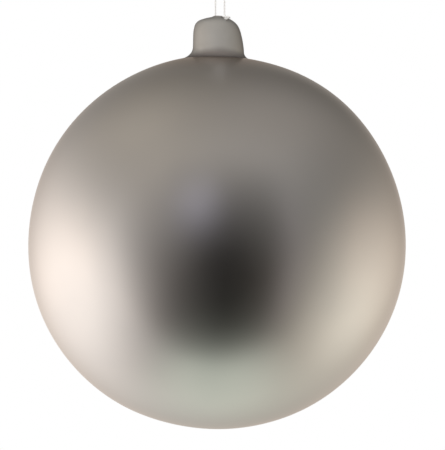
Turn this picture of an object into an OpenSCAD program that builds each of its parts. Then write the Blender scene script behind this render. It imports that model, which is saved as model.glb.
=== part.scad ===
// Glass ball ornament: a hollow glass ball whose short open neck is closed by a drilled cap,
// hung on a loop of thin twisted cord. Millimetres, +Z up. The origin is where a hook bears,
// at the inside of the loop's top bend.

/* [Ball] */
// Outside diameter of the glass ball
ball_d = 150; // [100:1:200]
// Thickness of the ball's glass
glass_wall = 1; // [0.8:0.1:2]
// Outside diameter of the ball's open neck
neck_d = 14.6; // [12:0.1:15.5]
// Thickness of the neck's glass
neck_wall = 1.2; // [0.8:0.1:2]
// Height of the neck's rim above the ball's top
neck_h = 8.5; // [5:0.1:9.5]

/* [Cap] */
// Outside diameter of the cap at its skirt
cap_d = 20.8; // [20:0.1:26]
// Height of the cap's crown above the ball's top
cap_h = 15.2; // [14:0.1:18.5]
// Slope of the cap's side from upright, in degrees
cap_taper = 4.5; // [2:0.1:6]
// Radius of the cap's domed crown
crown_r = 14; // [12:0.1:20]
// Radius of the round corner between side and crown
corner_r = 3.8; // [2.8:0.1:4.5]
// Thickness of the cap's wall and roof
cap_wall = 1.6; // [1:0.1:2]
// Radius of the raised land between the two cord holes
land_r = 2.5; // [1.5:0.1:3]
// Height of the raised land above the crown
land_h = 0.35; // [0.2:0.05:0.8]
// Diameter of the two cord holes
hole_d = 1.5; // [1.1:0.05:2]
// Width of the countersink at the mouth of a cord hole
mouth_d = 2.5; // [2.2:0.1:3]

/* [Seal] */
// Gap between the cap's skirt and the ball, filled by the seal
seal_gap = 0.5; // [0.3:0.05:0.8]
// Height of the neck's stretch that the seal fills inside the cap
seal_fill = 6; // [3:0.1:8]
// Radius of the hollow fillet round the foot of the cap
fillet_r = 3.4; // [2:0.1:5]

/* [Cord] */
// Thickness of the twisted cord
cord_d = 0.7; // [0.5:0.05:0.9]
// Angle of the line through both cord holes, turned towards the front from +X
loop_yaw = 56; // [0:1:90]
// Distance from the ball's axis to the middle of the loop, along that line
loop_shift = 1.85; // [0.5:0.05:2.5]
// Diameter of the knot's body
knot_d = 1.6; // [1.2:0.05:1.8]

/* [Hidden] */

fa_ball = 128;               // facets round the ball in a preview
fa_small = 64;               // and round the small pieces
crown_z = -50;               // top of the cap's crown, where the cord's route ends
ball_r = ball_d / 2;
ball_top = crown_z - cap_h;  // top of the sphere, under the cap
cap_r = cap_d / 2;
foot_z = sqrt(ball_r * ball_r - cap_r * cap_r) - ball_r; // the ball under the skirt, from its top
skirt_z = foot_z + seal_gap;
countersink = 0.9;           // depth of a mouth's cone
neck_root = 5;               // how far the neck's solid reaches down into the ball
hole_reach = 6;              // how far a cord hole's cutter reaches down from the crown
past = 1;                    // how far a cutter passes the face it opens
over_land = 0.3;             // and how far a countersink's cutter passes the land
land_back = 0.6;             // from the loop's middle back to the middle of the land

// Route of the cord in the loop's own plane: [distance from the loop's middle, height].
// The right strand, from the knot up to the start of the top bend
right_strand = [[3.25, -49.4], [3.25, -40], [3.25, -28], [3.25, -16], [3.25, -4]];
// The bend over the hook
top_bend = [[3.25, -4], [3.25, -2.9], [2.8, -1.25], [1.65, -0.1], [0, 0.35], [-1.65, -0.1], [-2.8, -1.25],
            [-3.25, -2.9], [-3.25, -4]];
// The left strand, from the bend down into its hole
left_strand = [[-3.25, -4], [-3.25, -16], [-3.25, -28], [-3.25, -40], [-3.25, -50.55]];
// The stretch inside the cap, from the left hole to the knot
bight = [[-3.25, -50.55], [-3.25, -51.8], [-2.9, -52.8], [-2, -53.6], [-0.7, -54.1], [0.9, -54.5], [2.3, -54.75],
         [3.4, -54.6], [4.1, -53.9], [4.35, -52.9], [4.35, -51.7]];
left_hole = bight[0][0];
right_hole = bight[10][0];

// Points of an arc round c, from angle a0 to a1
function arc(c, r, a0, a1, n = 12) =
    [for (i = [0:n]) let (a = a0 + (a1 - a0) * i / n) [c[0] + r * cos(a), c[1] + r * sin(a)]];

// The cap's outline from its skirt to its crown, set in by a wall, with heights over the ball's top:
// a sloped side, a round corner tangent to side and crown, and the crown's arc
function cap_outline(inset) =
    let (kz = cap_h - crown_r, reach = crown_r - corner_r,
         side = cap_r * cos(cap_taper) - (kz - skirt_z) * sin(cap_taper) - corner_r,
         turn = cap_taper + acos(side / reach),
         c = [reach * cos(turn), kz + reach * sin(turn)],
         foot = [cap_r - inset / cos(cap_taper), skirt_z])
    concat([foot], arc(c, corner_r - inset, cap_taper, turn),
           arc([0, kz], crown_r - inset, turn, 90, 16));

// A tube of eight sides with a ring at each point of a path and one every `step` between
function along(path, step) =
    concat([for (i = [0:len(path) - 2]) let (a = path[i], b = path[i + 1], n = ceil(norm(b - a) / step))
                for (k = [0:n - 1]) a + (b - a) * k / n], [path[len(path) - 1]]);
function heading(p, i) =
    let (a = p[max(i - 1, 0)], b = p[min(i + 1, len(p) - 1)]) (b - a) / norm(b - a);

module cord_tube(path) {
    p = along(path, 3 * cord_d);
    n = len(p);
    sides = 8;
    rings = [for (i = [0:n - 1]) let (h = heading(p, i)) for (k = [0:sides - 1])
                let (a = 360 * k / sides, out = cord_d / 2 * cos(a))
                [p[i][0] - h[1] * out, cord_d / 2 * sin(a), p[i][1] + h[0] * out]];
    faces = concat(
        [[for (k = [sides - 1:-1:0]) k]],
        [for (i = [0:n - 2], k = [0:sides - 1]) let (a = i * sides, m = (k + 1) % sides)
            [a + k, a + m, a + sides + m, a + sides + k]],
        [[for (k = [0:sides - 1]) (n - 1) * sides + k]]);
    polyhedron(rings, faces);
}

// Places its children on the ball's axis, with the ball's top at height 0
module on_ball() {
    translate([-loop_shift * cos(loop_yaw), loop_shift * sin(loop_yaw), ball_top]) children();
}

// Turns its children from the loop's own plane into place
module in_loop() {
    rotate([0, 0, -loop_yaw]) children();
}

// Places its children at the crown's own centre
module at_crown() {
    translate([-loop_shift, 0, crown_z - crown_r]) children();
}

// The solid inside the cap's outline, at a wall's inset, and reaching down by `below`
module cap_solid(inset, below = 0) {
    outline = cap_outline(inset);
    rotate_extrude($fn = fa_small)
        polygon(concat([[0, skirt_z - below], [outline[0][0], skirt_z - below]], outline));
}

// A hollow blown ball with a short open neck
module glass_ball() {
    color([0.62, 0.6, 0.57]) on_ball() difference() {
        union() {
            translate([0, 0, -ball_r]) sphere(ball_r, $fn = fa_ball);
            translate([0, 0, -neck_root]) cylinder(h = neck_root + neck_h, d = neck_d, $fn = fa_small);
        }
        translate([0, 0, -ball_r]) sphere(ball_r - glass_wall, $fn = fa_ball);
        translate([0, 0, -neck_root - past])
            cylinder(h = neck_root + neck_h + 2 * past, d = neck_d - 2 * neck_wall, $fn = fa_small);
    }
}

// A moulded cap with a domed crown, a raised land and two countersunk cord holes
module cap() {
    color([0.56, 0.54, 0.51]) difference() {
        union() {
            on_ball() difference() {
                cap_solid(0);
                cap_solid(cap_wall, past);
            }
            in_loop() land();
        }
        in_loop() for (x = [left_hole, right_hole]) translate([x, 0, crown_z]) cord_hole(x + loop_shift);
    }
}

// One hole with its countersink, at a distance from the cap's axis, from the height of the crown down
module cord_hole(off) {
    mouth = sqrt(crown_r * crown_r - off * off) - crown_r;
    rise = land_h + over_land;
    widening = (mouth_d - hole_d) / countersink;
    translate([0, 0, -hole_reach]) cylinder(h = hole_reach + past, d = hole_d, $fn = fa_small);
    translate([0, 0, mouth - countersink])
        cylinder(h = countersink + rise, d1 = hole_d, d2 = mouth_d + rise * widening, $fn = fa_small);
}

// A low round swelling of the crown between the two holes
module land() {
    lean = asin((loop_shift - land_back) / crown_r);
    swell_r = (land_r * land_r + land_h * land_h) / (2 * land_h);
    at_crown() rotate([0, lean, 0]) translate([0, 0, crown_r]) intersection() {
        translate([0, 0, land_h - swell_r]) sphere(swell_r, $fn = fa_ball);
        translate([0, 0, -cap_wall / 2]) cylinder(h = cap_wall / 2 + 2 * land_h, r = land_r, $fn = fa_small);
    }
}

// Hardened sealant that holds the cap on the neck and fills the corner at its foot with a hollow
// fillet, tangent to the cap's side and to the ball
module seal() {
    c0 = sqrt(pow(ball_r + fillet_r, 2) - pow(cap_r + fillet_r, 2)) - ball_r;
    cx = cap_r + fillet_r / cos(cap_taper) - (c0 - skirt_z) * tan(cap_taper);
    cz = sqrt(pow(ball_r + fillet_r, 2) - cx * cx) - ball_r;
    fillet = arc([cx, cz], fillet_r, 180 + cap_taper, 180 + atan2(cz + ball_r, cx));
    inside = cap_r - cap_wall - past;
    color([0.5, 0.48, 0.46]) on_ball() difference() {
        union() {
            intersection() {
                cap_solid(cap_wall, neck_root);
                translate([0, 0, -neck_root]) cylinder(h = neck_root + seal_fill, r = cap_r, $fn = fa_small);
            }
            rotate_extrude($fn = fa_small)
                polygon(concat([[inside, fillet[0][1]]], fillet,
                    [[fillet[12][0], -neck_root], [inside, -neck_root]]));
        }
        translate([0, 0, -ball_r]) sphere(ball_r, $fn = fa_ball);
        translate([0, 0, -neck_root - past]) cylinder(h = neck_root + cap_h, d = neck_d, $fn = fa_small);
        difference() {
            cap_solid(0);
            cap_solid(cap_wall, past);
        }
    }
}

// The cord under the crown, from hole to hole
module cord_bight() {
    color([0.93, 0.92, 0.9]) in_loop() cord_tube(bight);
}

// The knot that closes the loop: three lobes down the crown's slope, the middle one over the right hole
module cord_knot() {
    // each lobe's degrees along the crown from the middle one, height over the crown, and share of knot_d
    lobes = [[-3.2, 0.72, 0.78], [0, 0.54, 1], [3.2, 0.64, 0.7]];
    middle = asin((right_hole + loop_shift) / (crown_r + lobes[1][1]));
    color([0.95, 0.94, 0.92]) in_loop() at_crown() for (l = lobes)
        rotate([0, middle + l[0], 0]) translate([0, 0, crown_r + l[1]])
            sphere(d = knot_d * l[2], $fn = fa_small);
}

// The two hanging strands
module loop_strands() {
    color([0.95, 0.94, 0.92]) in_loop() {
        cord_tube(right_strand);
        cord_tube(left_strand);
    }
}

// The top bend, where the hook bears
module loop_top() {
    color([0.95, 0.94, 0.92]) in_loop() cord_tube(top_bend);
}

glass_ball();
cap();
seal();
cord_bight();
cord_knot();
loop_strands();
loop_top();
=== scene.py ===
import math
import bpy
import mathutils
import numpy as np
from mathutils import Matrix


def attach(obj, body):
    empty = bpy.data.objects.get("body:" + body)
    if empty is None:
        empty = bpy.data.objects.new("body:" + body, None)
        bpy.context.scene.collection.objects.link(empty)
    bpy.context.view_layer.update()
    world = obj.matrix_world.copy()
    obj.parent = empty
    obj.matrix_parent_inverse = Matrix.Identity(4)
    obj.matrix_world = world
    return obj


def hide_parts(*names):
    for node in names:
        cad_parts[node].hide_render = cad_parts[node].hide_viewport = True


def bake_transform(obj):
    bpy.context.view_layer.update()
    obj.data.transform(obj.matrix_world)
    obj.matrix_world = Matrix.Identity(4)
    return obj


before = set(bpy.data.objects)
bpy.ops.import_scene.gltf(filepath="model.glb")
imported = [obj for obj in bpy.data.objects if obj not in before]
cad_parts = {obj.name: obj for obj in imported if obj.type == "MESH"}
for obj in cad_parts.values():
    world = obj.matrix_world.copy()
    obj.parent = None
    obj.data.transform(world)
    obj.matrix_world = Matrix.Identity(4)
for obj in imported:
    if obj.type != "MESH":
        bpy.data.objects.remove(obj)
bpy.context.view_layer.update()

# Glass ball ornament, hung on a loop of thin white twisted cord.
# Lengths in the dictionaries are millimetres and angles degrees, as in the CAD.
mm = 0.001
scene = bpy.context.scene

place = {
    "loopYaw": 56,      # how far the loop's plane is turned towards the front from +X
    "loopShift": 1.85,  # from the ball's axis to the middle of the loop, along that plane
    "ballTop": -65.2,
    "ballRadius": 75,
    "crown": 15.2,      # heights from here on are over the ball's top
}
yaw = math.radians(place["loopYaw"])
alongLoop = np.array([math.cos(yaw), -math.sin(yaw), 0])
acrossLoop = np.array([math.sin(yaw), math.cos(yaw), 0])
upward = np.array([0, 0, 1.0])
ballAxis = -place["loopShift"] * alongLoop
ballTop = ballAxis + place["ballTop"] * upward
ballCentre = ballTop - place["ballRadius"] * upward


cameraSetup = {
    "distance": 800,   # from the ball's middle
    "right": 2.06,     # of the ball's middle
    "above": 6.7,
    "lens": 159.4,
}


def addCamera(setup):
    data = bpy.data.cameras.new("camera")
    data.lens = setup["lens"]
    data.clip_start = 0.01
    camera = bpy.data.objects.new("camera", data)
    spot = ballCentre + [setup["right"], -setup["distance"], setup["above"]]
    camera.location = spot * mm
    camera.rotation_euler = (math.pi / 2, 0, 0)
    scene.collection.objects.link(camera)
    scene.camera = camera


addCamera(cameraSetup)
print("camera set")


def smoothStep(x):
    # s = 3 x^2 - 2 x^3, with x held between 0 and 1
    x = np.clip(x, 0, 1)
    return x * x * (3 - 2 * x)


def throughKnots(knots, count, fromKnot=0):
    # natural cubic spline over the chord length t: p = a p0 + b p1 + ((a^3 - a) m0 + (b^3 - b) m1) h^2 / 6
    knots = np.asarray(knots, float)
    steps = np.diff(knots, axis=0)
    h = np.linalg.norm(steps, axis=1)
    t = np.concatenate([[0], np.cumsum(h)])
    inner = np.arange(1, len(knots) - 1)
    system = np.eye(len(knots))
    system[inner, inner - 1] = h[:-1]
    system[inner, inner] = 2 * (h[:-1] + h[1:])
    system[inner, inner + 1] = h[1:]
    right = np.zeros_like(knots)
    slopes = steps / h[:, None]
    right[inner] = 6 * (slopes[1:] - slopes[:-1])
    m = np.linalg.solve(system, right)
    at = np.linspace(t[fromKnot], t[-1], count)
    i = np.clip(np.searchsorted(t, at, "right") - 1, 0, len(knots) - 2)
    a = ((t[i + 1] - at) / h[i])[:, None]
    b = 1 - a
    bend = (a ** 3 - a) * m[i] + (b ** 3 - b) * m[i + 1]
    return a * knots[i] + b * knots[i + 1] + bend * (h[i] ** 2)[:, None] / 6


def addMesh(name, grids, material):
    # each grid is points[row][column] with rows wrapped round, and either columns wrapped too
    # or a pole at each end; the corners of a face are (r, c), (r+1, c), (r+1, c+1), (r, c+1)
    spots = []
    quads = []
    fans = []
    marks = []
    first = 0
    for grid in grids:
        points = grid["points"]
        rows, columns = points.shape[:2]
        index = first + np.arange(rows * columns).reshape(rows, columns)
        following = np.roll(index, -1, axis=0)
        if grid.get("ring"):
            a, b = index, following
            c, d = np.roll(following, -1, axis=1), np.roll(index, -1, axis=1)
        else:
            a, b = index[:, :-1], following[:, :-1]
            c, d = following[:, 1:], index[:, 1:]
        faces = np.stack([a, b, c, d], axis=-1).reshape(-1, 4)
        spots.append(points.reshape(-1, 3))
        own = np.zeros((rows * columns, 2))
        if "marks" in grid:
            own = grid["marks"].reshape(-1, 2)
        marks.append(own)
        first += rows * columns
        caps = np.zeros((0, 3), int)
        if not grid.get("ring"):
            poles = np.array([grid["startPole"], grid["endPole"]])
            starts = np.full(rows, first)
            ends = np.full(rows, first + 1)
            caps = np.concatenate([
                np.stack([starts, following[:, 0], index[:, 0]], axis=-1),
                np.stack([ends, index[:, -1], following[:, -1]], axis=-1),
            ])
            spots.append(poles)
            marks.append(own.reshape(rows, columns, 2)[0, [0, -1]])
            first += 2
        if grid.get("flip"):
            faces = faces[:, ::-1]
            caps = caps[:, ::-1]
        quads.append(faces)
        fans.append(caps)
    spots = np.concatenate(spots) * mm
    marks = np.concatenate(marks)
    quads = np.concatenate(quads)
    fans = np.concatenate(fans)
    mesh = bpy.data.meshes.new(name)
    mesh.from_pydata(spots, [], quads.tolist() + fans.tolist())
    mesh.polygons.foreach_set("use_smooth", np.ones(len(mesh.polygons), bool))
    layer = mesh.uv_layers.new(name="marks")
    corners = np.zeros(len(mesh.loops), int)
    mesh.loops.foreach_get("vertex_index", corners)
    layer.data.foreach_set("uv", marks[corners].ravel())
    mesh.materials.append(material)
    mesh.update()
    piece = bpy.data.objects.new(name, mesh)
    scene.collection.objects.link(piece)
    return piece


def roundAxis(outline, angles, axis):
    # p = axis + (r cos(angle), r sin(angle), z), with the outline's r and z free to change with the angle
    r = outline[..., 0]
    x = axis[0] + r * np.cos(angles)[:, None]
    y = axis[1] + r * np.sin(angles)[:, None]
    z = axis[2] + outline[..., 1]
    return np.stack([x, y, np.broadcast_to(z, x.shape)], axis=-1)


def newMaterial(name):
    material = bpy.data.materials.new(name)
    material.use_nodes = True
    tree = material.node_tree
    shader = tree.nodes["Principled BSDF"]
    return material, tree, shader


def addNode(tree, kind, **values):
    node = tree.nodes.new(kind)
    for key, value in values.items():
        if hasattr(node, key):
            setattr(node, key, value)
        else:
            node.inputs[key].default_value = value
    return node


def combine(tree, operation, first, second=None):
    node = addNode(tree, "ShaderNodeMath", operation=operation)
    for socket, value in zip(node.inputs, (first, second)):
        if value is None:
            continue
        if isinstance(value, (int, float)):
            socket.default_value = value
        else:
            tree.links.new(value, socket)
    return node.outputs["Value"]


def noiseOver(tree, source, scale, detail, rough=0.5):
    noise = addNode(tree, "ShaderNodeTexNoise")
    noise.inputs["Scale"].default_value = scale
    noise.inputs["Detail"].default_value = detail
    noise.inputs["Roughness"].default_value = rough
    tree.links.new(source, noise.inputs["Vector"])
    return noise.outputs["Fac"]


def spread(tree, value, low, high, fromLow=0.3, fromHigh=0.7):
    # noise mostly stays between 0.3 and 0.7, so that is what is stretched from low to high
    ranged = addNode(tree, "ShaderNodeMapRange")
    ranged.inputs["From Min"].default_value = fromLow
    ranged.inputs["From Max"].default_value = fromHigh
    ranged.inputs["To Min"].default_value = low
    ranged.inputs["To Max"].default_value = high
    tree.links.new(value, ranged.inputs["Value"])
    return ranged.outputs["Result"]


def mixTones(tree, factor, first, second):
    mix = addNode(tree, "ShaderNodeMix", data_type="RGBA")
    mix.inputs["A"].default_value = (*first, 1)
    mix.inputs["B"].default_value = (*second, 1)
    tree.links.new(factor, mix.inputs["Factor"])
    return mix.outputs["Result"]


def withPaintedShade(tree, tone, paintedShade):
    # painted shade round the joint, a darker tone mixed in: the piece's first mark says how much, from 0 to
    # 1
    own = addNode(tree, "ShaderNodeUVMap", uv_map="marks").outputs["UV"]
    parts = addNode(tree, "ShaderNodeSeparateXYZ")
    tree.links.new(own, parts.inputs["Vector"])
    mix = addNode(tree, "ShaderNodeMix", data_type="RGBA")
    tree.links.new(parts.outputs["X"], mix.inputs["Factor"])
    tree.links.new(tone, mix.inputs["A"])
    mix.inputs["B"].default_value = (*paintedShade, 1)
    return mix.outputs["Result"]


def satinSilver(name, look):
    # a metal whose tone and polish drift a little from place to place, with a fine matt grain;
    # where its metal is under 1, the rest scatters light as paint of the same tone does
    material, tree, shader = newMaterial(name)
    spot = addNode(tree, "ShaderNodeTexCoord").outputs["Object"]
    cloud = noiseOver(tree, spot, look["cloudScale"], look["cloudDetail"])
    grain = noiseOver(tree, spot, look["grainScale"], look["grainDetail"], look["grainRough"])
    tone = mixTones(tree, spread(tree, cloud, 0, 1), look["tone"], look["toneDrift"])
    # painted shade: the tone is darkened where the piece's first mark is up
    tone = withPaintedShade(tree, tone, look["paintedShadeTone"])
    polish = spread(tree, cloud, look["rough"] - look["roughDrift"], look["rough"] + look["roughDrift"])
    tree.links.new(tone, shader.inputs["Base Color"])
    tree.links.new(polish, shader.inputs["Roughness"])
    shader.inputs["Metallic"].default_value = look["metal"]
    shader.inputs["Specular Tint"].default_value = (*look["edgeTone"], 1)
    if "lacquer" in look:
        shader.inputs["Coat Weight"].default_value = 1
        shader.inputs["Coat Roughness"].default_value = look["rough"]
        shader.inputs["Coat IOR"].default_value = look["lacquerIor"]
        shader.inputs["Coat Tint"].default_value = (*look["lacquer"], 1)
    bump = addNode(tree, "ShaderNodeBump")
    bump.inputs["Strength"].default_value = look["grainStrength"]
    bump.inputs["Distance"].default_value = look["grainDepth"] * mm
    tree.links.new(grain, bump.inputs["Height"])
    tree.links.new(bump.outputs["Normal"], shader.inputs["Normal"])
    return material


silverLook = {
    "metal": 1,
    "tone": (0.83, 0.825, 0.82),
    "toneDrift": (0.81, 0.81, 0.81),
    # painted shade on the ball round the neck, darker and warmer
    "paintedShadeTone": (0.7, 0.61, 0.55),
    "rough": 0.3,
    "roughDrift": 0.02,
    "cloudScale": 38,
    "cloudDetail": 3,
    "grainScale": 2600,
    "grainDetail": 4,
    "grainRough": 0.6,
    "grainStrength": 0.35,
    "grainDepth": 0.02,
    "edgeTone": (0.6, 0.6, 0.6),   # what the coat gives back at a glancing angle
}
capLook = {
    **silverLook,
    "metal": 0.72,
    "tone": (0.835, 0.825, 0.775),
    "toneDrift": (0.795, 0.785, 0.735),
    # painted contact shadow at the foot of the cap and the seal
    "paintedShadeTone": (0.48, 0.445, 0.415),
    "rough": 0.6,
    "cloudScale": 160,
    "grainDepth": 0.03,
    "edgeTone": (0.1, 0.1, 0.1),
    "lacquer": (0.72, 0.72, 0.73),   # a smoky lacquer, darker the flatter it is looked through
    "lacquerIor": 1.05,
}
sealLook = {**capLook, "cloudScale": 220}

cordLook = {
    "tone": (0.85, 0.85, 0.84),
    "toneDrift": (0.72, 0.72, 0.71),
    "rough": 0.82,
    "sheen": 0.25,
    "fibresRound": 9,      # fibres seen round a ply
    "fibresAlong": 900,    # noise steps a metre, along the cord
    "fibreDetail": 3,
    "fibreRough": 0.6,
    "fibreStrength": 0.5,
    "fibreDepth": 0.05,
}


def whiteCord(name, look):
    # fibres drawn out along each ply, in the cord's own coordinates
    material, tree, shader = newMaterial(name)
    own = addNode(tree, "ShaderNodeUVMap", uv_map="marks").outputs["UV"]
    stretch = addNode(tree, "ShaderNodeMapping")
    stretch.inputs["Scale"].default_value = (look["fibresAlong"], look["fibresRound"], 1)
    tree.links.new(own, stretch.inputs["Vector"])
    fibres = noiseOver(tree, stretch.outputs["Vector"], 1, look["fibreDetail"], look["fibreRough"])
    tone = mixTones(tree, spread(tree, fibres, 0, 1), look["toneDrift"], look["tone"])
    tree.links.new(tone, shader.inputs["Base Color"])
    shader.inputs["Roughness"].default_value = look["rough"]
    shader.inputs["Sheen Weight"].default_value = look["sheen"]
    bump = addNode(tree, "ShaderNodeBump")
    bump.inputs["Strength"].default_value = look["fibreStrength"]
    bump.inputs["Distance"].default_value = look["fibreDepth"] * mm
    tree.links.new(fibres, bump.inputs["Height"])
    tree.links.new(bump.outputs["Normal"], shader.inputs["Normal"])
    return material


silver = satinSilver("satinSilver", silverLook)
capSilver = satinSilver("capSilver", capLook)
sealSilver = satinSilver("sealSilver", sealLook)
cordWhite = whiteCord("cordWhite", cordLook)
print("finishes made")


cord = {
    "thickness": 0.7,
    "plies": 2,
    "pitch": 2.4,        # length of one full turn of the twist
    "plyShare": 0.6,     # ply's own thickness as a share of the cord's
    "sidesOfPly": 12,
    "ringEvery": 0.16,
    "endTip": 0.01,      # how far the middle of each rounded end stands out
    "measureSteps": 400,
    "route": [[3.25, -50.55], [3.25, -44], [3.25, -36], [3.25, -28], [3.25, -20], [3.25, -12], [3.25, -7],
              [3.25, -4.4], [3.25, -2.9], [2.8, -1.25], [1.65, -0.1], [0, 0.35], [-1.65, -0.1],
              [-2.8, -1.25], [-3.25, -2.9], [-3.25, -4.4], [-3.25, -7], [-3.25, -12], [-3.25, -20],
              [-3.25, -28], [-3.25, -36], [-3.25, -44], [-3.25, -50.55]],
    "bight": [[-3.25, -50.55], [-3.25, -51.8], [-2.9, -52.8], [-2, -53.6], [-0.7, -54.1], [0.9, -54.5],
              [2.3, -54.75], [3.4, -54.6], [4.1, -53.9], [4.35, -52.9], [4.35, -51.7], [4.35, -50.9]],
}


def inLoop(points):
    # [along the loop, height] to x, y, z
    points = np.asarray(points, float)
    return points[:, :1] * alongLoop + points[:, 1:] * upward


def lengthOf(points):
    return np.linalg.norm(np.diff(points, axis=0), axis=1).sum()


def twisted(knots, side, setup):
    # ply k: c(s) + q (cos(f) n + sin(f) b), f = 2 pi (s / pitch + k / plies), with a round section about it;
    # q and the section shrink as sqrt(1 - x^2) over the last half thickness, which rounds both ends
    rough = throughKnots(knots, setup["measureSteps"])
    rings = int(lengthOf(rough) / setup["ringEvery"])
    centre = throughKnots(knots, rings)
    heading = np.gradient(centre, axis=0)
    heading /= np.linalg.norm(heading, axis=1)[:, None]
    b = np.cross(heading, side)
    b /= np.linalg.norm(b, axis=1)[:, None]
    n = np.cross(b, heading)
    s = np.concatenate([[0], np.cumsum(np.linalg.norm(np.diff(centre, axis=0), axis=1))])
    half = setup["thickness"] / 2
    fromEnd = np.minimum(s, s[-1] - s)
    x = 1 - np.clip(fromEnd / half, 0.02, 1)
    shrink = np.sqrt(1 - x * x)
    plyRadius = half * setup["plyShare"]
    q = (half - plyRadius) * shrink
    around = np.linspace(0, 2 * math.pi, setup["sidesOfPly"], endpoint=False)
    grids = []
    for k in range(setup["plies"]):
        f = 2 * math.pi * (s / setup["pitch"] + k / setup["plies"])
        middle = centre + (q * np.cos(f))[:, None] * n + (q * np.sin(f))[:, None] * b
        g = around[:, None] + f[None, :]
        out = np.cos(g)[..., None] * n + np.sin(g)[..., None] * b
        points = middle + (plyRadius * shrink)[:, None] * out
        along = np.broadcast_to(s * mm, g.shape)
        marks = np.stack([along, np.broadcast_to(around[:, None] / (2 * math.pi), g.shape)], axis=-1)
        grids.append({
            "points": points,
            "marks": marks,
            "startPole": middle[0] - heading[0] * setup["endTip"],
            "endPole": middle[-1] + heading[-1] * setup["endTip"],
        })
    return grids, centre


loopGrids, loopLine = twisted(inLoop(cord["route"]), acrossLoop, cord)
loop = addMesh("cordLoop", loopGrids, cordWhite)
bightGrids, bightLine = twisted(inLoop(cord["bight"]), acrossLoop, cord)
bight = addMesh("cordBight", bightGrids, cordWhite)

knot = {
    "along": 4.4,        # middle of the knot, from the loop's middle
    "height": -50.62,
    "lean": 25.2,        # slope of the crown under it
    "ring": 0.78,        # the knot's big radius
    "wrap": 0.36,        # and its small one
    "openFrom": 270,     # where the strand comes in, and how far round the cord runs
    "run": 322,
    "points": 30,
    "tail": [[-0.6, 1.25, 0.3], [-0.1, 1.6, 0.1], [0.5, 1.75, -0.1]],  # down the slope, across it, off it
}


def knotKnots(setup):
    # trefoil: r = ring + wrap cos(3 f) at the angle 2 f, and wrap sin(3 f) off the crown
    lean = math.radians(setup["lean"])
    down = math.cos(lean) * alongLoop - math.sin(lean) * upward
    off = math.sin(lean) * alongLoop + math.cos(lean) * upward
    middle = setup["along"] * alongLoop + setup["height"] * upward
    f = np.radians(np.linspace(setup["openFrom"], setup["openFrom"] + setup["run"], setup["points"]))
    r = setup["ring"] + setup["wrap"] * np.cos(3 * f)
    local = np.stack([r * np.cos(2 * f), r * np.sin(2 * f), setup["wrap"] * np.sin(3 * f)], axis=-1)
    local = np.concatenate([local, setup["tail"]])
    turned = local[:, :1] * down + local[:, 1:2] * acrossLoop + local[:, 2:] * off
    return middle + turned, off


knotPoints, knotUp = knotKnots(knot)
knotGrids, knotLine = twisted(knotPoints, knotUp, cord)
knotPiece = addMesh("cordKnot", knotGrids, cordWhite)

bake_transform(loop)
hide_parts("loop_top", "loop_strands")
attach(bight, "ball")
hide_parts("cord_bight")
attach(knotPiece, "ball")
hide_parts("cord_knot")


ball = {
    "wall": 1,
    "neckRadius": 7.3,
    "neckWall": 1.2,
    "neckHeight": 8.5,
    "neckFillet": 2.5,
    "rimRound": 0.5,
    "sides": 256,
    "rings": 180,
    "paintedShadeReach": 37,     # how far from the axis the painted shade round the neck ends
    "paintedShadeFade": 22,
    # blown glass isn't quite round:
    # [degrees from the top, outwards all round, outwards at +X and inwards at -X]
    "uneven": [[0, -0.45, 0], [12, -0.5, -0.25], [24, -0.3, -0.05], [42, 0.05, 0.1], [60, 0.1, -0.1],
               [84, 0.3, -0.1], [108, 0.85, -0.2], [132, 0.8, -0.2], [150, 0.5, -0.1], [165, 0, 0.05],
               [180, -0.15, 0]],
    "unevenSteps": 721,
    "filletRings": 8,
    "rimRings": 10,
}


def unevenness(setup, fromTop, angles):
    # e(v, angle) = e0(v) + e1(v) cos(angle), with e0 and e1 splines through the knots
    line = throughKnots(setup["uneven"], setup["unevenSteps"])
    degrees = np.degrees(fromTop)
    everywhere = np.interp(degrees, line[:, 0], line[:, 1])
    sideways = np.interp(degrees, line[:, 0], line[:, 2])
    return everywhere + sideways * np.cos(angles)[:, None]


def onBall(r, angles):
    # the glass under a point of the cap or the seal: z = (radius + e) cos(v) - radius, v = asin(r / radius)
    radius = place["ballRadius"]
    fromTop = np.arcsin(r / radius)
    return (radius + unevenness(ball, fromTop, angles)) * np.cos(fromTop) - radius


def shellOutline(setup, inset, fromTop, angles):
    # r = (radius + e - inset) sin(v), z = (radius + e - inset) cos(v) - radius
    radius = place["ballRadius"]
    reach = radius + unevenness(setup, fromTop, angles) - inset
    return np.stack([reach * np.sin(fromTop), reach * np.cos(fromTop) - radius], axis=-1)


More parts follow.
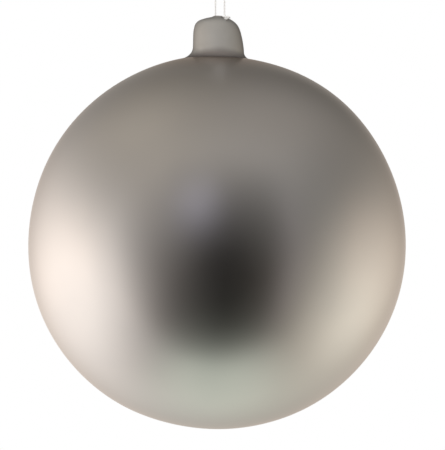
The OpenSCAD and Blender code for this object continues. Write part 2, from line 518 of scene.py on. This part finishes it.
def addBall(setup):
    # glass outside, neck, round rim, bore and glass inside, from the bottom pole to the inner one;
    # painted shade round the neck, darker and warmer, by s((reach - r) / fade) on the upper half
    radius = place["ballRadius"]
    angles = np.linspace(0, 2 * math.pi, setup["sides"], endpoint=False)
    neck = setup["neckRadius"]
    bore = neck - setup["neckWall"]
    fillet = setup["neckFillet"]
    start = math.asin((neck + fillet) / radius)
    upwards = np.linspace(math.pi, start, setup["rings"])[1:]
    downwards = np.linspace(math.asin(bore / radius), math.pi, setup["rings"] // 2)[:-1]
    outer = shellOutline(setup, 0, upwards, angles)
    inner = shellOutline(setup, setup["wall"], downwards, angles)
    turn = np.linspace(0, math.pi / 2, setup["filletRings"])[1:]
    foot = outer[:, -1:] + fillet * np.stack([-np.sin(turn), 1 - np.cos(turn)], axis=-1)
    rim = setup["rimRound"]
    lift = np.linspace(0, math.pi, setup["rimRings"])
    lip = np.stack([(neck + bore) / 2 + (neck - bore) / 2 * np.cos(lift),
                    setup["neckHeight"] - rim + rim * np.sin(lift)], axis=-1)
    lip = np.broadcast_to(lip, (setup["sides"], *lip.shape))
    outline = np.concatenate([outer, foot, lip, inner], axis=1)
    bottom = 2 * radius + setup["uneven"][-1][1]
    upper = outline[..., 1] > -radius
    # painted shade round the neck, on the upper half only
    paintedShade = smoothStep((setup["paintedShadeReach"] - outline[..., 0]) / setup["paintedShadeFade"]) * upper
    grid = {
        "points": roundAxis(outline, angles, ballTop),
        "marks": np.stack([paintedShade, np.zeros_like(paintedShade)], axis=-1),
        "startPole": ballTop - bottom * upward,
        "endPole": ballTop - (bottom - setup["wall"]) * upward,
    }
    return addMesh("glassBall", [grid], silver)


ballPiece = addBall(ball)
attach(ballPiece, "ball")
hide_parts("glass_ball")
print("ball blown")


cap = {
    "wall": 1.6,
    # the outline from crown to skirt, [from the axis, height], on the steep side and on the sloping one
    "steep": [[0, 15.2], [2.2, 15.1], [4.3, 14.73], [6.1, 14.22], [7.3, 13.75], [8.2, 13.1], [8.8, 12.4],
              [9.15, 11.6], [9.42, 10.5], [9.62, 9.3], [9.72, 7.8], [9.76, 6], [9.8, 4.2], [9.86, 2.8],
              [9.92, 1.4], [9.95, -0.22]],
    "sloping": [[0, 15.2], [2, 15.05], [3.8, 14.75], [5, 14.35], [6, 13.75], [6.95, 13.05], [7.65, 12.4],
                [8.2, 11.7], [8.65, 10.9], [9.12, 9.8], [9.5, 8.5], [9.85, 7], [10.2, 5.3], [10.5, 3.3],
                [10.65, 1.7], [10.75, -0.22]],
    "landAlong": 1.25,   # middle of the raised land, from the cap's axis
    "landHeight": 0.48,
    "landReach": 3.3,
    "landEdge": 1.7,
    "holes": [-1.4, 6.2],  # from the cap's axis, along the loop
    "holeRadius": 0.75,
    "mouthRadius": 1.3,
    "flare": 0.9,
    "crownRadius": 14,   # of the crown that the drills come down on
    "drillFoot": 2,      # height that a drill reaches down to
    "drillReach": 2.2,   # how far it goes on past the hole, in flares
    "drillRings": 24,
    "drillSides": 48,
    "sharpFrom": 35,     # edges that turn by more are sharp
    "poleGap": 0.02,     # closest that the inside comes to the axis before its pole
    "paintedShadeFront": 3.2,    # height where the painted contact shadow at the foot starts, at the front and back
    "paintedShadeSides": 0.9,
    "paintedShadeFade": 3.4,
    "sides": 192,
    "rings": 110,
}


def capOutlines(setup, angles, count):
    # the steep and the sloping outline, mixed by (1 + cos(angle)) / 2
    both = []
    for knots in (setup["steep"], setup["sloping"]):
        knots = np.array(knots)
        mirrored = knots[:0:-1] * [-1, 1]
        both.append(throughKnots(np.concatenate([mirrored, knots]), count, len(mirrored)))
    mixing = ((1 + np.cos(angles)) / 2)[:, None, None]
    return both[0] * (1 - mixing) + both[1] * mixing


def raisedLand(points, setup):
    # height s((reach - d) / edge), with d measured from the land's middle
    middle = ballAxis + setup["landAlong"] * alongLoop
    d = np.hypot(points[..., 0] - middle[0], points[..., 1] - middle[1])
    lift = setup["landHeight"] * smoothStep((setup["landReach"] - d) / setup["landEdge"])
    return points + lift[..., None] * upward


def addDrill(setup, off):
    # r = hole below the flare, widening as x^1.5 to the mouth and on above it
    crownRadius = setup["crownRadius"]
    foot = setup["drillFoot"]
    mouth = place["crown"] - crownRadius + math.sqrt(crownRadius ** 2 - off ** 2)
    x = np.linspace(0, setup["drillReach"], setup["drillRings"])
    r = setup["holeRadius"] + (setup["mouthRadius"] - setup["holeRadius"]) * x ** 1.5
    z = mouth - setup["flare"] + setup["flare"] * x
    outline = np.concatenate([[[setup["holeRadius"], foot]], np.stack([r, z], axis=-1)])
    angles = np.linspace(0, 2 * math.pi, setup["drillSides"], endpoint=False)
    spot = ballTop + off * alongLoop
    grid = {
        "points": roundAxis(np.broadcast_to(outline, (setup["drillSides"], *outline.shape)), angles, spot),
        "startPole": spot + foot * upward,
        "endPole": spot + z[-1] * upward,
    }
    return addMesh("drill", [grid], capSilver)


def addCap(setup):
    # the outline outside, and the same one set in by the wall along its own normal inside;
    # painted contact shadow at the foot by s((h - z) / fade), with h going from sides to front by
    # sin(angle)^2
    angles = np.linspace(0, 2 * math.pi, setup["sides"], endpoint=False)
    outer = capOutlines(setup, angles, setup["rings"])
    heading = np.gradient(outer, axis=1)
    heading /= np.linalg.norm(heading, axis=2)[..., None]
    outward = np.stack([-heading[..., 1], heading[..., 0]], axis=-1)
    inner = outer - setup["wall"] * outward
    inner[..., 0] = np.maximum(inner[..., 0], setup["poleGap"])
    points = raisedLand(roundAxis(outer[:, 1:], angles, ballTop), setup)
    roof = roundAxis(inner[:, :0:-1], angles, ballTop)
    front = np.sin(angles)[:, None] ** 2
    high = setup["paintedShadeSides"] * (1 - front) + setup["paintedShadeFront"] * front
    # painted contact shadow at the cap's foot
    paintedShade = smoothStep((high - outer[:, 1:, 1]) / setup["paintedShadeFade"])
    paintedShade = np.concatenate([paintedShade, np.zeros_like(paintedShade)], axis=1)
    grid = {
        "points": np.concatenate([points, roof], axis=1),
        "marks": np.stack([paintedShade, np.zeros_like(paintedShade)], axis=-1),
        "startPole": raisedLand(ballTop + place["crown"] * upward, setup),
        "endPole": ballTop + (place["crown"] - setup["wall"]) * upward,
        "flip": True,
    }
    piece = addMesh("cap", [grid], capSilver)
    for off in setup["holes"]:
        drill = addDrill(setup, off)
        cut = piece.modifiers.new("hole", "BOOLEAN")
        cut.operation = "DIFFERENCE"
        cut.object = drill
        cut.solver = "EXACT"
        bpy.context.view_layer.update()
        applied = piece.evaluated_get(bpy.context.evaluated_depsgraph_get())
        cutMesh = bpy.data.meshes.new_from_object(applied)
        piece.modifiers.clear()
        piece.data = cutMesh
        bpy.data.objects.remove(drill)
    cutMesh.name = "cap"
    cutMesh.set_sharp_from_angle(angle=math.radians(setup["sharpFrom"]))
    return piece


capPiece = addCap(cap)
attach(capPiece, "ball")
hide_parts("cap")
print("cap turned and drilled")


seal = {
    "topSteep": 3.2,      # where the fillet leaves the cap's side, on its steep side and elsewhere
    "topElsewhere": 1.2,
    "reachSteep": 15,     # and where it meets the ball
    "reachElsewhere": 13.4,
    "narrowing": 3,       # how fast it narrows from the steep side round to the front and back
    "pull": 1.15,         # how strongly the fillet keeps to the cap and the ball at its two edges
    "tuck": 0.03,         # how far the edges sink into them
    "fill": 6,            # height of the stretch inside the cap
    "foot": 1.6,          # height where that stretch starts on the neck
    "drop": 0.2,          # how far the inner edge starts under the fillet's top
    "gap": 0.02,          # between the seal and what it holds
    "sides": 192,
    "rings": 40,
    "underRings": 12,
    "capSteps": 400,
    "sharpFrom": 35,
}


def addSeal(setup):
    # hermite curve from the cap's side, at its slope, to the ball, at its slope; then back under it
    # along the ball, up the neck, and down inside the cap; painted contact shadow by the cap's own formula
    angles = np.linspace(0, 2 * math.pi, setup["sides"], endpoint=False)
    steep = ((1 - np.cos(angles)) / 2) ** setup["narrowing"]
    outline = capOutlines(cap, angles, setup["capSteps"])
    top = setup["topSteep"] * steep + setup["topElsewhere"] * (1 - steep)
    reach = setup["reachSteep"] * steep + setup["reachElsewhere"] * (1 - steep)
    nearest = np.abs(outline[..., 1] - top[:, None]).argmin(axis=1)
    row = np.arange(setup["sides"])
    start = outline[row, nearest]
    side = outline[row, nearest + 1] - outline[row, nearest - 1]
    side /= np.linalg.norm(side, axis=1)[:, None]
    start = start - setup["tuck"] * np.stack([-side[:, 1], side[:, 0]], axis=-1)
    end = np.stack([reach, onBall(reach[:, None], angles)[:, 0] - setup["tuck"]], axis=-1)
    slope = -reach / np.sqrt(place["ballRadius"] ** 2 - reach ** 2)
    away = np.stack([np.ones_like(slope), slope], axis=-1)
    away /= np.linalg.norm(away, axis=1)[:, None]
    size = (np.linalg.norm(end - start, axis=1) * setup["pull"])[:, None, None]
    x = np.linspace(0, 1, setup["rings"])[None, :, None]
    h00 = 2 * x ** 3 - 3 * x ** 2 + 1
    h10 = x ** 3 - 2 * x ** 2 + x
    h01 = 3 * x ** 2 - 2 * x ** 3
    h11 = x ** 3 - x ** 2
    fillet = h00 * start[:, None] + h10 * size * side[:, None]
    fillet = fillet + h01 * end[:, None] + h11 * size * away[:, None]
    bore = ball["neckRadius"] + ball["neckFillet"]
    inwards = np.linspace(0, 1, setup["underRings"])[1:]
    r = reach[:, None] * (1 - inwards) + bore * inwards
    under = np.stack([r, onBall(r, angles) + setup["gap"]], axis=-1)
    neck = ball["neckRadius"] + setup["gap"]
    hold = cap["steep"][-1][0] - cap["wall"] - setup["gap"]
    skirt = cap["steep"][-1][1] - setup["gap"]
    sleeve = np.array([[neck, setup["foot"]], [neck, setup["fill"]], [hold, setup["fill"]], [hold, skirt]])
    sleeve = np.broadcast_to(sleeve, (setup["sides"], *sleeve.shape))
    inset = 4 * setup["tuck"]
    inside = outline[:, -1] - [inset, setup["gap"]]
    rise = np.stack([start[:, 0] - inset, start[:, 1] - setup["drop"]], axis=-1)
    section = np.concatenate([fillet, under, sleeve, inside[:, None], rise[:, None]], axis=1)
    front = np.sin(angles)[:, None] ** 2
    high = cap["paintedShadeSides"] * (1 - front) + cap["paintedShadeFront"] * front
    # painted contact shadow, by the cap's formula
    paintedShade = smoothStep((high - section[..., 1]) / cap["paintedShadeFade"])
    grid = {
        "points": roundAxis(section, angles, ballTop),
        "marks": np.stack([paintedShade, np.zeros_like(paintedShade)], axis=-1),
        "ring": True,
        "flip": True,
    }
    piece = addMesh("seal", [grid], sealSilver)
    piece.data.set_sharp_from_angle(angle=math.radians(setup["sharpFrom"]))
    return piece


sealPiece = addSeal(seal)
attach(sealPiece, "ball")
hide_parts("seal")
print("seal laid")


studio = {
    "floorBelow": 420,    # under the ball's middle
    "floorRadius": 1500,
    "floorTone": (0.82, 0.82, 0.81),
    "floorGlow": 0.6,     # the floor is a lit sheet, as pale as the background
    "background": (1, 1, 1),
    "strength": 1,
    "lower": (0.045, 0.035, 0.03),  # light from the lower half of the room, between the lamps
    "turnOver": 0.35,     # how softly it fades out upwards
    "floorRough": 0.9,
    "floorPaler": 0.02,   # how much paler its light patches are
    "floorScale": 6,
    "floorDetail": 3,
    "floorDepth": 2,
    "floorSides": 96,
}

# the softboxes and walls round the ball: degrees round from the front and up, then widths, softness
# and light
lamps = [
    {"around": -110, "up": -19, "wide": 0.9, "tall": 0.6, "soft": 0.7, "light": (1.12, 1.03, 0.96)},
    {"around": 111, "up": -29, "wide": 0.6, "tall": 0.45, "soft": 1.3, "light": (0.93, 0.86, 0.73)},
    {"around": 0, "up": -90, "wide": 0.4, "tall": 0.7, "soft": 0.6, "light": (0.45, 0.49, 0.42)},
    {"around": 180, "up": -8, "wide": 1.1, "tall": 0.25, "soft": 1.3, "light": (0.45, 0.34, 0.27)},
    {"around": -89, "up": 55, "wide": 0.7, "tall": 0.4, "soft": 1.2, "light": (0.43, 0.385, 0.33)},
    {"around": 70, "up": 64, "wide": 0.95, "tall": 0.5, "soft": 0.8, "light": (0.285, 0.26, 0.235)},
    {"around": 22, "up": 26, "wide": 0.85, "tall": 0.45, "soft": 0.8, "light": (0.12, 0.12, 0.12)},
    {"around": -11, "up": 20, "wide": 0.15, "tall": 0.2, "soft": 1.2, "light": (0.72, 0.7, 0.88)},
    {"around": 46, "up": -10, "wide": 0.15, "tall": 0.6, "soft": 0.45, "light": (0.2, 0.175, 0.185)},
]
# a black card in front of the ball, that only the silver sees
card = {
    "infront": 185,       # of the ball's middle
    "right": 10,
    "halfWidth": 145,
    "top": 100,           # heights over the ball's middle
    "bottom": -415,
    "sideFade": 195,      # how far each edge fades, on both sides of it
    "topFade": 135,
    "bottomFade": 310,
}


def addCard(setup):
    # dark by s((w + f - |x|) / 2f) s((t + g - z) / 2g) s((z - b + h) / 2h), with half width w, top t,
    # bottom b and the fades f, g, h
    material, tree, shader = newMaterial("blackCard")
    shader.inputs["Base Color"].default_value = (0, 0, 0, 1)
    shader.inputs["Roughness"].default_value = 1
    shader.inputs["Specular IOR Level"].default_value = 0
    middle = (ballCentre + [setup["right"], -setup["infront"], 0]) * mm
    parts = addNode(tree, "ShaderNodeSeparateXYZ")
    tree.links.new(addNode(tree, "ShaderNodeTexCoord").outputs["Object"], parts.inputs["Vector"])
    across = combine(tree, "ABSOLUTE", combine(tree, "SUBTRACT", parts.outputs["X"], float(middle[0])))
    high = combine(tree, "SUBTRACT", parts.outputs["Z"], float(middle[2]))
    dark = None
    for value, edge, fade, side in (
        (across, setup["halfWidth"], setup["sideFade"], 1),
        (high, setup["top"], setup["topFade"], 1),
        (high, setup["bottom"], setup["bottomFade"], -1),
    ):
        ranged = addNode(tree, "ShaderNodeMapRange", interpolation_type="SMOOTHSTEP")
        ranged.inputs["From Min"].default_value = (edge + side * fade) * mm
        ranged.inputs["From Max"].default_value = (edge - side * fade) * mm
        tree.links.new(value, ranged.inputs["Value"])
        share = ranged.outputs["Result"]
        dark = share if dark is None else combine(tree, "MULTIPLY", dark, share)
    tree.links.new(dark, shader.inputs["Alpha"])
    halfX = (setup["halfWidth"] + setup["sideFade"]) * mm
    top = (setup["top"] + setup["topFade"]) * mm
    bottom = (setup["bottom"] - setup["bottomFade"]) * mm
    corners = np.array([[-halfX, 0, bottom], [halfX, 0, bottom], [halfX, 0, top], [-halfX, 0, top]]) + middle
    mesh = bpy.data.meshes.new("blackCard")
    mesh.from_pydata(corners, [], [[0, 1, 2, 3]])
    mesh.materials.append(material)
    piece = bpy.data.objects.new("blackCard", mesh)
    piece.visible_camera = False
    piece.visible_diffuse = False
    piece.visible_transmission = False
    piece.visible_shadow = False
    scene.collection.objects.link(piece)


def lobe(tree, direction, spot):
    # s((1 + soft - d) / (2 soft)), with d^2 = (x / wide)^2 + (y / tall)^2 + ((1 - z) / 2)^2 in the lobe's
    # own axes; behind it d grows by 2 |z|
    a = math.radians(spot["around"])
    e = math.radians(spot["up"])
    axes = [
        (math.cos(a), math.sin(a), 0),
        (-math.sin(a) * math.sin(e), math.cos(a) * math.sin(e), math.cos(e)),
        (math.sin(a) * math.cos(e), -math.cos(a) * math.cos(e), math.sin(e)),
    ]
    parts = []
    for axis in axes:
        dot = addNode(tree, "ShaderNodeVectorMath", operation="DOT_PRODUCT")
        tree.links.new(direction, dot.inputs[0])
        dot.inputs[1].default_value = axis
        parts.append(dot.outputs["Value"])
    x = combine(tree, "POWER", combine(tree, "ABSOLUTE", combine(tree, "DIVIDE", parts[0], spot["wide"])), 2)
    y = combine(tree, "POWER", combine(tree, "ABSOLUTE", combine(tree, "DIVIDE", parts[1], spot["tall"])), 2)
    z = combine(tree, "POWER", combine(tree, "MULTIPLY", combine(tree, "SUBTRACT", 1, parts[2]), 0.5), 2)
    d = combine(tree, "SQRT", combine(tree, "ADD", combine(tree, "ADD", x, y), z))
    behind = combine(tree, "MULTIPLY", combine(tree, "MINIMUM", parts[2], 0), -2)
    d = combine(tree, "ADD", d, behind)
    ranged = addNode(tree, "ShaderNodeMapRange", interpolation_type="SMOOTHSTEP")
    ranged.inputs["From Min"].default_value = 1 + spot["soft"]
    ranged.inputs["From Max"].default_value = 1 - spot["soft"]
    tree.links.new(d, ranged.inputs["Value"])
    return ranged.outputs["Result"]


def mixLight(tree, kind, factor, first, second):
    mix = addNode(tree, "ShaderNodeMix", data_type="RGBA", blend_type=kind)
    sockets = (mix.inputs["Factor"], mix.inputs["A"], mix.inputs["B"])
    for socket, value in zip(sockets, (factor, first, second)):
        if isinstance(value, (int, float)):
            socket.default_value = value
        elif isinstance(value, tuple):
            socket.default_value = (*value, 1)
        else:
            tree.links.new(value, socket)
    return mix.outputs["Result"]


def lightRoom(setup):
    world = bpy.data.worlds.new("room")
    world.use_nodes = True
    scene.world = world
    tree = world.node_tree
    background = tree.nodes["Background"]
    direction = addNode(tree, "ShaderNodeTexCoord").outputs["Generated"]
    height = addNode(tree, "ShaderNodeSeparateXYZ")
    tree.links.new(direction, height.inputs["Vector"])
    over = addNode(tree, "ShaderNodeMapRange", interpolation_type="SMOOTHSTEP")
    over.inputs["From Min"].default_value = -setup["turnOver"]
    over.inputs["From Max"].default_value = setup["turnOver"]
    tree.links.new(height.outputs["Z"], over.inputs["Value"])
    light = mixLight(tree, "MIX", over.outputs["Result"], setup["lower"], (0, 0, 0))
    for lamp in lamps:
        light = mixLight(tree, "ADD", lobe(tree, direction, lamp), light, lamp["light"])
    rays = addNode(tree, "ShaderNodeLightPath").outputs["Is Camera Ray"]
    light = mixLight(tree, "MIX", rays, light, setup["background"])
    tree.links.new(light, background.inputs["Color"])
    background.inputs["Strength"].default_value = setup["strength"]


def addFloor(setup):
    # a flat round disc, p = r (cos(angle), sin(angle))
    material, tree, shader = newMaterial("floor")
    spot = addNode(tree, "ShaderNodeTexCoord").outputs["Object"]
    mottle = spread(tree, noiseOver(tree, spot, setup["floorScale"], setup["floorDetail"]), 0, 1)
    paler = tuple(min(1, c + setup["floorPaler"]) for c in setup["floorTone"])
    tree.links.new(mixTones(tree, mottle, setup["floorTone"], paler), shader.inputs["Base Color"])
    shader.inputs["Roughness"].default_value = setup["floorRough"]
    shader.inputs["Emission Color"].default_value = (*paler, 1)
    shader.inputs["Emission Strength"].default_value = setup["floorGlow"]
    middle = ballCentre - setup["floorBelow"] * upward
    sides = setup["floorSides"]
    depth = setup["floorDepth"]
    angles = np.linspace(0, 2 * math.pi, sides, endpoint=False)
    outline = np.array([[setup["floorRadius"], -depth], [setup["floorRadius"], 0]])
    grid = {
        "points": roundAxis(np.broadcast_to(outline, (sides, 2, 2)), angles, middle),
        "startPole": middle - depth * upward,
        "endPole": middle,
    }
    floor = addMesh("floor", [grid], material)
    floor.visible_glossy = False
    floor.visible_diffuse = False


# soft panels that light the cord and the floor; the silver only mirrors the room
panels = [
    {"at": (-450, -1000, 250), "size": 500, "power": 8},
    {"at": (700, -800, 200), "size": 500, "power": 2},
    {"at": (0, 200, 900), "size": 900, "power": 6},
]


def addPanels(spots):
    for spot in spots:
        data = bpy.data.lights.new("panel", "AREA")
        data.size = spot["size"] * mm
        data.energy = spot["power"]
        panel = bpy.data.objects.new("panel", data)
        toMiddle = -np.array(spot["at"], float)
        panel.location = (ballTop + spot["at"]) * mm
        panel.rotation_euler = mathutils.Vector(toMiddle).to_track_quat("-Z", "Y").to_euler()
        panel.visible_glossy = False
        panel.visible_camera = False
        scene.collection.objects.link(panel)


lightRoom(studio)
addCard(card)
addPanels(panels)
addFloor(studio)
scene.view_settings.view_transform = "Standard"
print("floor and light set")
